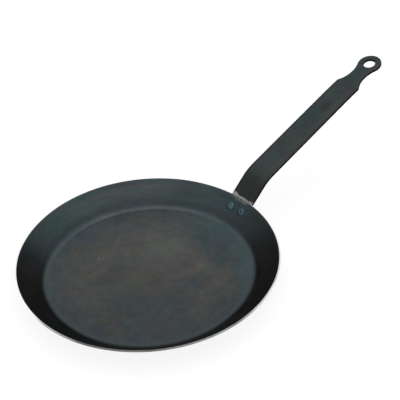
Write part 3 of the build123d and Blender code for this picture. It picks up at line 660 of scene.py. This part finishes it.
def dish_profile():
    """(radius, height, material of the band that follows) from the floor's middle, over the rim, to the base's middle."""
    floor_c, rim_i, rim_o, base_c = (FLOOR_R, SHEET_T), (RIM_IN_R, TOP_Z), (RIM_R, RIM_OUT_Z), (BASE_R, 0.0)
    bend_in = fillet((0, SHEET_T), floor_c, rim_i, CORNER_IN, 12)
    brk_in = fillet(floor_c, rim_i, rim_o, BREAK_IN, 5)
    brk_out = fillet(rim_i, rim_o, base_c, BREAK_OUT, 5)
    bend_out = fillet(rim_o, base_c, (0, 0), CORNER_OUT, 12)

    def between(p, q, n):
        return [(p[0] + (q[0] - p[0]) * i / n, p[1] + (q[1] - p[1]) * i / n) for i in range(1, n)]

    r0 = bend_in[0][0]
    floor = [(r, SHEET_T) for r in (1.2, 3, 5.5, 8.5, 12, 16, 20.5, 25, 30, 35, 40, 45, 50, 55, 60, 65, 70, 75, 80, 84.5, 88.5, 91.8)]
    out = [(p, 0) for p in floor]
    out += [(p, 0) for p in bend_in]
    out += [(p, 0) for p in between(bend_in[-1], brk_in[0], 24)]
    out += [(p, 1) for p in brk_in]
    out += [(p, 1) for p in between(brk_in[-1], brk_out[0], 4)]
    out += [(p, 1) for p in brk_out[:-1]] + [(brk_out[-1], 2)]
    out += [(p, 2) for p in between(brk_out[-1], bend_out[0], 24)]
    out += [(p, 2) for p in bend_out]
    r1 = bend_out[-1][0]
    out += [((r, 0.0), 2) for r in (88.5, 84, 78, 71, 64, 57, 50, 42, 34, 26, 18, 11, 5.5, 1.6) if r < r1 - 0.5]
    assert r0 < FLOOR_R
    return out


def build_dish():
    prof = dish_profile()
    verts, faces, mats = [], [], []
    for (r, z), _ in prof:
        for j in range(SEGS):
            a = 2 * math.pi * j / SEGS
            c, s = math.cos(a), math.sin(a)
            rr, zz = r, z
            inside = z > 0.8 and r < FLOOR_R - 1.8
            if inside:
                # pressed sheet is never quite flat: long shallow waves
                w = soft_noise(r * c, r * s, 3.0, 0.016) * 0.16 + soft_noise(r * c, r * s, 9.0, 0.045) * 0.05
                zz += w * min(1.0, (FLOOR_R - 1.8 - r) / 12.0)
            elif z < 0.01 and r < BASE_R - 3.5:
                # the base stands on its outer ring and is hollow by a hair in the middle
                zz += 0.16 * (1 - (r / (BASE_R - 3.5)) ** 2) ** 2
            elif z > 2.5:
                # the wall waves a little towards the rim; never outwards
                k = (z - 2.5) / (TOP_Z - 2.5)
                w = 0.5 + 0.5 * soft_noise(c * 2.1, s * 2.1, 1.7, 1.0) + 0.25 * soft_noise(c * 7.0, s * 7.0, 5.1, 1.0)
                rr -= 0.10 * k * max(0.0, w) * (1 - math.exp(-((a if a < math.pi else 2 * math.pi - a) / 0.30) ** 2))
            verts.append((rr * c, rr * s, zz))
    n = len(prof)
    for i in range(n - 1):
        for j in range(SEGS):
            k = (j + 1) % SEGS
            faces.append((i * SEGS + j, i * SEGS + k, (i + 1) * SEGS + k, (i + 1) * SEGS + j))
            mats.append(prof[i][1])
    top = len(verts)
    verts.append((0, 0, prof[0][0][1] + soft_noise(0, 0, 3.0, 0.016) * 0.16 + soft_noise(0, 0, 9.0, 0.045) * 0.05))
    low = len(verts)
    verts.append((0, 0, 0.16))
    for j in range(SEGS):
        k = (j + 1) % SEGS
        faces.append((top, k, j))
        mats.append(0)
        faces.append((low, (n - 1) * SEGS + j, (n - 1) * SEGS + k))
        mats.append(2)
    return make_object("dish", verts, faces, [M_IN, M_RIM, M_OUT], mats)


# =========================================================================
# handle
# =========================================================================
def vec(x, z):
    return np.array([x, z], float)


N_WALL, D_WALL = vec(-sa, ca), vec(ca, sa)
N_RUN, D_RUN = vec(-sb, cb), vec(cb, sb)
RIM_PT = vec(RIM_R, RIM_OUT_Z) + N_WALL * SEAT_DEPTH
P_FOOT = RIM_PT - D_WALL * FOOT_BELOW
P_BEND0 = RIM_PT + D_WALL * RISE_PAST
C_BEND = P_BEND0 - N_WALL * BEND_R
P_BEND1 = C_BEND + N_RUN * BEND_R
S_BEND0 = FOOT_BELOW + RISE_PAST
S_BEND1 = S_BEND0 + BEND_R * (A - B)
# the end hangs down a little, over one long arc
S_DROOP0 = S_BEND1 + RUN_L
S_DROOP1 = S_DROOP0 + DROOP_L
S_SHOULDER = S_DROOP1 + TIP_L
N_TIP, D_TIP = vec(-math.sin(C), math.cos(C)), vec(math.cos(C), math.sin(C))
C_DROOP = P_BEND1 + D_RUN * RUN_L - N_RUN * DROOP_R
P_DROOP1 = C_DROOP + N_TIP * DROOP_R


def strip_place(s, y, hgt):
    """From along the strip, across it and below its top face, to the row frame."""
    if s <= S_BEND0:
        p = P_FOOT + D_WALL * s - N_WALL * hgt
    elif s <= S_BEND1:
        a = A - (s - S_BEND0) / BEND_R
        p = C_BEND + vec(-math.sin(a), math.cos(a)) * (BEND_R - hgt)
    elif s <= S_DROOP0:
        p = P_BEND1 + D_RUN * (s - S_BEND1) - N_RUN * hgt
    elif s <= S_DROOP1:
        a = B - (s - S_DROOP0) / DROOP_R
        p = C_DROOP + vec(-math.sin(a), math.cos(a)) * (DROOP_R - hgt)
    else:
        p = P_DROOP1 + D_TIP * (s - S_DROOP1) - N_TIP * hgt
    return p[0], y, p[1]


def above_cone(s, y, hgt):
    x, _, z = strip_place(s, y, hgt)
    return z < 40.0 and math.hypot(x, y) < RIM_R + (z - RIM_OUT_Z) / math.tan(A)


def seat(s, y, hgt):
    """Depth of the strip's surface, cut to the wall's outer cone where it would go into it."""
    if s > S_BEND1 + 5 or not above_cone(s, y, hgt):
        return hgt
    lo, hi = hgt, hgt + 1.6
    for _ in range(26):
        mid = (lo + hi) / 2
        if above_cone(s, y, mid):
            lo = mid
        else:
            hi = mid
    return hi


def outline_half():
    """The strip's left edge from the foot's end to the eye's far point: (along, across, outward normal), as straight runs and arcs."""
    pts = []

    def arc(cx, cy, r, a0, a1, n, sign, skip_first=True):
        for i in range(1 if skip_first else 0, n + 1):
            a = math.radians(a0 + (a1 - a0) * i / n)
            pts.append((cx + r * math.cos(a), cy + r * math.sin(a), sign * math.cos(a), sign * math.sin(a)))

    arc(FOOT_R, HALF_W - FOOT_R, FOOT_R, 180, 90, 16, 1, False)
    tip_y = HALF_W - TIP_R
    arc_y = NECK_HALF + SHOULDER_R
    tip_x = S_SHOULDER + NECK_FROM - math.sqrt((SHOULDER_R + TIP_R) ** 2 - (arc_y - tip_y) ** 2)
    s = FOOT_R
    marks = [S_BEND0, S_BEND1, S_DROOP0, S_DROOP1, tip_x]
    for end in marks:
        n = max(2, int(round((end - s) / 2.2)))
        for i in range(1, n + 1):
            pts.append((s + (end - s) * i / n, HALF_W, 0.0, 1.0))
        s = end
    ta = math.degrees(math.atan2(arc_y - tip_y, S_SHOULDER + NECK_FROM - tip_x))
    arc(tip_x, tip_y, TIP_R, 90, ta, 6, 1)
    arc(S_SHOULDER + NECK_FROM, arc_y, SHOULDER_R, 180 + ta, 270, 14, -1)
    for i in (1, 2):
        pts.append((S_SHOULDER + NECK_FROM + (NECK_TO - NECK_FROM) * i / 2, NECK_HALF, 0.0, 1.0))
    join = len(pts) - 1
    dx = EYE_AT - NECK_TO
    r_eye = (dx * dx + NECK_HALF ** 2 - EYE_R ** 2) / (2 * (EYE_R - NECK_HALF))
    ux, uy = NECK_TO - EYE_AT, NECK_HALF + r_eye
    ea = math.degrees(math.atan2(uy, ux))
    arc(S_SHOULDER + NECK_TO, NECK_HALF + r_eye, r_eye, 270, 180 + ea + 0.0 if ea > 90 else 270, 10, -1)
    arc(S_SHOULDER + EYE_AT, 0.0, EYE_R, ea, 0, 34, 1)
    return pts, join


def build_handle():
    COLS = 18
    half, join = outline_half()
    cx = S_SHOULDER + EYE_AT
    verts, faces, mats = [], [], []

    # planform of the broad faces, set in from the edge by the edge break
    def inset(p, d):
        return p[0] - p[2] * d, p[1] - p[3] * d

    rows = []
    for p in half[: join + 1]:
        s, y = inset(p, EDGE)
        rows.append([(s, y - 2 * y * c / COLS) for c in range(COLS + 1)])
    # outer loop: foot's end from right to left, the left edge, the eye, and the right edge
    loop = [(0.0, -(HALF_W - FOOT_R) + 2 * (HALF_W - FOOT_R) * c / COLS, -1.0, 0.0) for c in range(1, COLS)]
    left = half
    right = [(p[0], -p[1], p[2], -p[3]) for p in reversed(half[:-1])]
    loop = loop + left + right
    n_left = len(left)

    plan, index = [], {}

    def add(key, s, y):
        index[key] = len(plan)
        plan.append((s, y))

    for i, row in enumerate(rows):
        for c, (s, y) in enumerate(row):
            add(("r", i, c), s, y)
    # the eye: rings between the hole and the outline, sharing the last row
    last = len(rows) - 1
    outer = []
    for k in range(join + 1, n_left):
        outer.append(("o", k))
        add(("o", k), *inset(left[k], EDGE))
    for k in range(n_left - 2, join, -1):
        outer.append(("p", k))
        s, y = inset(left[k], EDGE)
        add(("p", k), s, -y)
    # closed ring of keys round the hole, starting at the last row's left end
    ring_keys = [("r", last, 0)] + outer + [("r", last, c) for c in range(COLS, 0, -1)]
    m = len(ring_keys)
    RINGS = 9
    angs = []
    for key in ring_keys:
        s, y = plan[index[key]]
        angs.append(math.atan2(y, s - cx))
    hole_pts = [(cx + HOLE_R * math.cos(a), HOLE_R * math.sin(a), -math.cos(a), -math.sin(a)) for a in angs]
    for w in range(1, RINGS + 1):
        f = w / RINGS
        for j, key in enumerate(ring_keys):
            s0, y0 = plan[index[key]]
            s1, y1 = inset(hole_pts[j], EDGE)
            add(("e", w, j), s0 + (s1 - s0) * f, y0 + (y1 - y0) * f)

    cells = []
    for i in range(last):
        for c in range(COLS):
            cells.append((index["r", i, c], index["r", i, c + 1], index["r", i + 1, c + 1], index["r", i + 1, c]))
    for w in range(RINGS):
        for j in range(m):
            k = (j + 1) % m
            a = index[ring_keys[j]] if w == 0 else index["e", w, j]
            b = index[ring_keys[k]] if w == 0 else index["e", w, k]
            cells.append((a, b, index["e", w + 1, k], index["e", w + 1, j]))

    def dish_of(s, y):
        # the strip's faces are a touch uneven from forging; only ever inwards
        f = min(1.0, max(0.0, (s - S_BEND0) / 12)) * min(1.0, max(0.0, (S_SHOULDER + 6 - s) / 20))
        inner = min(1.0, max(0.0, (HALF_W - 1.2 - abs(y)) / 4.0))
        v = 0.5 + 0.5 * soft_noise(s, y, 2.0, 0.055) + 0.3 * soft_noise(s, y, 7.0, 0.16)
        return 0.11 * max(0.0, v) * f * inner

    def place(s, y, hgt):
        return strip_place(s, y, seat(s, y, hgt))

    npl = len(plan)
    for s, y in plan:
        verts.append(place(s, y, dish_of(s, y)))
    for s, y in plan:
        verts.append(strip_place(s, y, STRIP_T - 0.6 * dish_of(s + 40, y)))
    for c in cells:
        faces.append(c)
        mats.append(0)
        faces.append(tuple(v + npl for v in reversed(c)))
        mats.append(0)

    # rounded edges and sides, down from the top face to the underside
    def wall_band(points, top_ids, closed_ids):
        steps = []
        for i in range(1, 5):
            a = math.radians(22.5 * i)
            steps.append((EDGE - EDGE * math.sin(a), EDGE - EDGE * math.cos(a)))
        side = [(0.0, EDGE + (STRIP_T - 2 * EDGE) * i / 4) for i in range(1, 4)]
        low = [(d, STRIP_T - hh) for d, hh in reversed(steps)]
        levels = steps + side + low
        prev = top_ids
        for li, (d, hh) in enumerate(levels):
            ids = []
            for p in points:
                s, y = inset(p, d)
                ids.append(len(verts))
                verts.append(place(s, y, hh))
            for j in range(len(points)):
                k = (j + 1) % len(points)
                faces.append((prev[j], prev[k], ids[k], ids[j]))
                mats.append(1 if li >= 1 else 0)
            prev = ids
        for j in range(len(points)):
            k = (j + 1) % len(points)
            faces.append((prev[j], prev[k], closed_ids[k], closed_ids[j]))
            mats.append(1)

    # keys of the outer loop in the same order as its points
    loop_keys = [("r", 0, COLS - c) for c in range(1, COLS)]
    for k in range(n_left):
        loop_keys.append(("r", k, 0) if k <= join else ("o", k))
    for k in range(n_left - 2, -1, -1):
        loop_keys.append(("r", k, COLS) if k <= join else ("p", k))
    top_ids = [index[k] for k in loop_keys]
    wall_band(loop, top_ids, [i + npl for i in top_ids])
    hole_ids = [index["e", RINGS, j] for j in range(m)]
    wall_band(hole_pts, hole_ids, [i + npl for i in hole_ids])
    return make_object("strip_handle", verts, faces, [M_FACE, M_EDGE], mats)


# =========================================================================
# rivets
# =========================================================================
Z_IN = SHEET_T + (math.hypot(RIVET_X, RIVET_Y) - FLOOR_R) * math.tan(A)


def rivet_frame(side):
    n = Vector((-sa, 0, ca))
    x = Vector((0, 1, 0))
    y = n.cross(x)
    base = Vector((RIVET_X, side * RIVET_Y, Z_IN))
    return base, x, y, n


def build_rivet(name, side, facets, marks):
    """Both heads and the shank as one turned piece; the inner head is faceted and creased by the set's blows."""
    base, ux, uy, n = rivet_frame(side)
    grip = (vec(base.x, base.z) - RIM_PT) @ N_WALL + STRIP_T
    segs = 96

    def dome(r, hgt, edge, power=2.0):
        return lambda q: edge + (hgt - edge) * (1 - (q / r) ** power)

    rng = random.Random(11 + side)
    prof = []
    d_in = dome(HEAD_IN_R, HEAD_IN_H - 0.3, 0.35, 3.0)
    for i in range(0, 17):
        q = HEAD_IN_R * i / 16 * 0.988
        prof.append(("in", q, d_in(q)))
    prof += [("in", HEAD_IN_R * 0.998, 0.40), ("in", HEAD_IN_R, 0.26), ("s", HEAD_IN_R, -0.10)]
    prof += [("s", SHANK_R - 0.03, -0.10), ("s", SHANK_R - 0.03, -grip + 0.05), ("s", HEAD_OUT_R, -grip + 0.05)]
    rise = HEAD_OUT_H - (grip - (SHEET_T - SEAT_DEPTH + STRIP_T))
    d_out = dome(HEAD_OUT_R, rise, 0.20)
    prof += [("out", HEAD_OUT_R, -grip - 0.12), ("out", HEAD_OUT_R * 0.997, -grip - 0.22)]
    for i in range(16, -1, -1):
        q = HEAD_OUT_R * i / 16 * 0.985
        prof.append(("out", q, -grip - d_out(q)))

    def surface(kind, q, hgt, a):
        u, v = q * math.cos(a), q * math.sin(a)
        if kind == "in":
            for (tu, tv, off) in facets:
                hgt = min(hgt, off - tu * u - tv * v)
            for (depth, mu, mv, along, across) in marks:
                # a mark's own axes: across and along the pan's line of sight on the wall
                ww, tt = (u - mu) * 0.47 + (v - mv) * 0.88, (u - mu) * 0.88 - (v - mv) * 0.47
                hgt -= depth * math.exp(-((ww / across) ** 2 + (tt / along) ** 2))
            hgt += 0.03 * soft_noise(u, v, side * 4.0, 0.9) * (1 if q < HEAD_IN_R * 0.9 else 0)
            hgt = min(hgt, HEAD_IN_H)
        elif kind == "out":
            f = 1 if q < HEAD_OUT_R * 0.9 else 0
            hgt += (0.05 + 0.07 * soft_noise(u, v, side * 9.0, 0.7)) * f
            hgt = max(hgt, -grip - 1.62)
        return u, v, hgt

    verts, faces = [], []

    def put(kind, q, hgt, a):
        u, v, w = surface(kind, q, hgt, a)
        p = base + ux * u + uy * v + n * w
        verts.append((p.x, p.y, p.z))

    put(*prof[0], 0.0)
    for k in prof[1:-1]:
        for j in range(segs):
            put(*k, 2 * math.pi * j / segs)
    put(*prof[-1], 0.0)
    rings = len(prof) - 2
    for j in range(segs):
        k = (j + 1) % segs
        faces.append((0, 1 + j, 1 + k))
        for i in range(rings - 1):
            faces.append((1 + i * segs + j, 1 + (i + 1) * segs + j, 1 + (i + 1) * segs + k, 1 + i * segs + k))
        faces.append((len(verts) - 1, 1 + (rings - 1) * segs + k, 1 + (rings - 1) * segs + j))
    return make_object(name, verts, faces, [M_RIVET])


def bore(obj, side):
    """Cuts a rivet's hole through a mesh."""
    base, ux, uy, n = rivet_frame(side)
    verts, faces = [], []
    segs = 64
    for w in (6.0, -9.0):
        for j in range(segs):
            a = 2 * math.pi * j / segs
            p = base + ux * (SHANK_R * math.cos(a)) + uy * (SHANK_R * math.sin(a)) + n * w
            verts.append((p.x, p.y, p.z))
    faces.append(tuple(range(segs)))
    faces.append(tuple(range(2 * segs - 1, segs - 1, -1)))
    for j in range(segs):
        k = (j + 1) % segs
        faces.append((j, segs + j, segs + k, k))
    cutter = make_object("cutter", verts, faces, [])
    mod = obj.modifiers.new("bore", "BOOLEAN")
    mod.operation, mod.solver, mod.object = "DIFFERENCE", "EXACT", cutter
    dg = bpy.context.evaluated_depsgraph_get()
    done = bpy.data.meshes.new_from_object(obj.evaluated_get(dg))
    obj.modifiers.clear()
    old = obj.data
    obj.data = done
    bpy.data.meshes.remove(old)
    done.name = obj.name
    cut_mesh = cutter.data
    bpy.data.objects.remove(cutter)
    bpy.data.meshes.remove(cut_mesh)


def shade(obj, degrees):
    """Smooth, but for real corners."""
    me = obj.data
    me.polygons.foreach_set("use_smooth", [True] * len(me.polygons))
    me.set_sharp_from_angle(angle=math.radians(degrees))
    me.update()


dish = build_dish()
handle = build_handle()
for side in (1, -1):
    bore(dish, side)
    bore(handle, side)
shade(dish, 38)
shade(handle, 50)
rivet_l = build_rivet("rivet_head_and_shank_left", 1, [(0.03, 0.06, 0.96), (-0.04, -0.09, 0.98)], [(0.20, -0.28, -0.52, 2.6, 0.42)])
rivet_r = build_rivet("rivet_head_and_shank_right", -1, [(0.01, -0.04, 0.97)], [(0.28, 0.10, 0.0, 0.95, 0.9)])
for ob in (rivet_l, rivet_r):
    shade(ob, 50)

for ob, node, slot in (
    (dish, "pan_body", "dish_steel"),
    (handle, "handle", "handle_steel"),
    (rivet_l, "rivet_left", "rivet_steel"),
    (rivet_r, "rivet_right", "rivet_steel"),
):
    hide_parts(node)
    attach(ob, "root")


# =========================================================================
# floor, light, camera
# =========================================================================
def build_floor():
    m, g, sh = material("pale_paper", metallic=0.0)
    p = g.coord
    fibre = g.noise(p, 900.0, 3.0, 0.6)
    cloud = g.noise(p, 3.0, 2.0, 0.5)
    col = g.mix(cloud, (0.112, 0.114, 0.116), (0.126, 0.126, 0.124))
    g.put(sh.inputs["Base Color"], g.mix(g.ramp(fibre, 0.4, 0.7, 0.0, 0.3), col, (0.270, 0.270, 0.270)))
    sh.inputs["Emission Color"].default_value = (1.0, 1.0, 1.0, 1.0)
    sh.inputs["Emission Strength"].default_value = 0.870
    sh.inputs["Roughness"].default_value = 0.9
    sh.inputs["Specular IOR Level"].default_value = 0.1
    n, half = 24, 3000.0
    verts = [(-half + 2 * half * i / n, -half + 2 * half * j / n, 0.0) for j in range(n + 1) for i in range(n + 1)]
    faces = [(j * (n + 1) + i, j * (n + 1) + i + 1, (j + 1) * (n + 1) + i + 1, (j + 1) * (n + 1) + i) for j in range(n) for i in range(n)]
    ob = make_object("floor", verts, faces, [m])
    return ob


build_floor()

# studio: a pale dome, bright overhead and dim near the horizon
world = bpy.data.worlds.new("studio")
bpy.context.scene.world = world
world.use_nodes = True
g = Nodes(world.node_tree)
w_out = g.new("ShaderNodeOutputWorld")
bg = g.new("ShaderNodeBackground")
pale = g.new("ShaderNodeBackground")
pick = g.new("ShaderNodeMixShader")
lp = g.new("ShaderNodeLightPath")
sky = g.new("ShaderNodeTexCoord").outputs["Generated"]
_, _, wz = g.split(sky)
ramp = g.new("ShaderNodeValToRGB")
ramp.color_ramp.interpolation = "LINEAR"
stops = ((0.0, 0.08), (math.sin(math.radians(6)), 0.11), (math.sin(math.radians(16)), 0.39),
         (math.sin(math.radians(30)), 0.97), (math.sin(math.radians(50)), 1.08), (1.0, 1.25))
els = ramp.color_ramp.elements
while len(els) < len(stops):
    els.new(0.5)
for e, (pos, v) in zip(els, stops):
    e.position = pos
    e.color = (v / 1.3, v / 1.3, v / 1.3, 1.0)
g.put(ramp.inputs[0], wz)
g.put(bg.inputs["Color"], ramp.outputs[0])
# a little more light from one side
g.put(bg.inputs["Strength"], g.math("MULTIPLY", g.math("ADD", g.math("MULTIPLY", g.vmath("DOT_PRODUCT", sky, (0.812, -0.583, 0.0)), 0.12), 1.0), 1.3))
pale.inputs["Color"].default_value = (0.90, 0.90, 0.90, 1.0)
pale.inputs["Strength"].default_value = 1.0
g.put(pick.inputs[0], lp.outputs["Is Camera Ray"])
g.put(pick.inputs[1], bg.outputs[0])
g.put(pick.inputs[2], pale.outputs[0])
g.put(w_out.inputs[0], pick.outputs[0])


def softbox(name, at, aim, size, watts):
    light = bpy.data.lights.new(name, "AREA")
    light.shape = "RECTANGLE"
    light.size, light.size_y = size
    light.energy = watts
    ob = bpy.data.objects.new(name, light)
    ob.location = at
    ob.rotation_mode = "QUATERNION"
    ob.rotation_quaternion = (Vector(aim) - Vector(at)).to_track_quat("-Z", "Y")
    bpy.context.scene.collection.objects.link(ob)
    return ob


softbox("overhead", (0.1, 0.2, 2.6), (0.05, 0, 0), (2.0, 2.0), 9.0)
softbox("front_fill", (-1.22, -1.70, 0.62), (0.0, 0.0, 0.0), (2.5, 0.8), 9.0)

# ---- camera: the photograph's, found from the rim, floor, handle and rivets
PX_PER_MM, DIST, TILT, ROLL, X0, Y0, TURN = 1.0789, 750.19, 41.102, 5.505, 149.793, 270.447, 35.706
f_px = PX_PER_MM * DIST
th, ro, tu = (math.radians(v) for v in (TILT, ROLL, TURN))
look = np.array([[1, 0, 0], [0, math.sin(th), math.cos(th)], [0, math.cos(th), -math.sin(th)]])
spin = np.array([[math.cos(ro), -math.sin(ro), 0], [math.sin(ro), math.cos(ro), 0], [0, 0, 1]])
to = np.array([(X0 - 200) / f_px, -(Y0 - 200) / f_px, 1.0])
to /= np.linalg.norm(to)
axis = np.cross((0, 0, 1.0), to)
K = np.array([[0, -axis[2], axis[1]], [axis[2], 0, -axis[0]], [-axis[1], axis[0], 0]])
aim = np.eye(3) + K + K @ K / (1 + to[2])
cam_rows = aim @ spin @ look
turn = np.array([[math.cos(tu), math.sin(tu), 0], [-math.sin(tu), math.cos(tu), 0], [0, 0, 1]])
right, upw, fwd = (turn @ row for row in cam_rows)
place = turn @ (-DIST * MM * look[2]) + np.array([0, 0, SHEET_T * MM])
cam = bpy.data.cameras.new("photo_camera")
cam.sensor_width = 36.0
cam.lens = f_px / 400 * 36.0
cam.clip_start, cam.clip_end = 0.01, 50.0
cam_ob = bpy.data.objects.new("photo_camera", cam)
cam_ob.matrix_world = Matrix((
    (right[0], upw[0], -fwd[0], place[0]),
    (right[1], upw[1], -fwd[1], place[1]),
    (right[2], upw[2], -fwd[2], place[2]),
    (0, 0, 0, 1),
))
bpy.context.scene.collection.objects.link(cam_ob)
bpy.context.scene.camera = cam_ob

bpy.context.scene.view_settings.view_transform = "Standard"
bpy.context.scene.view_settings.look = "None"
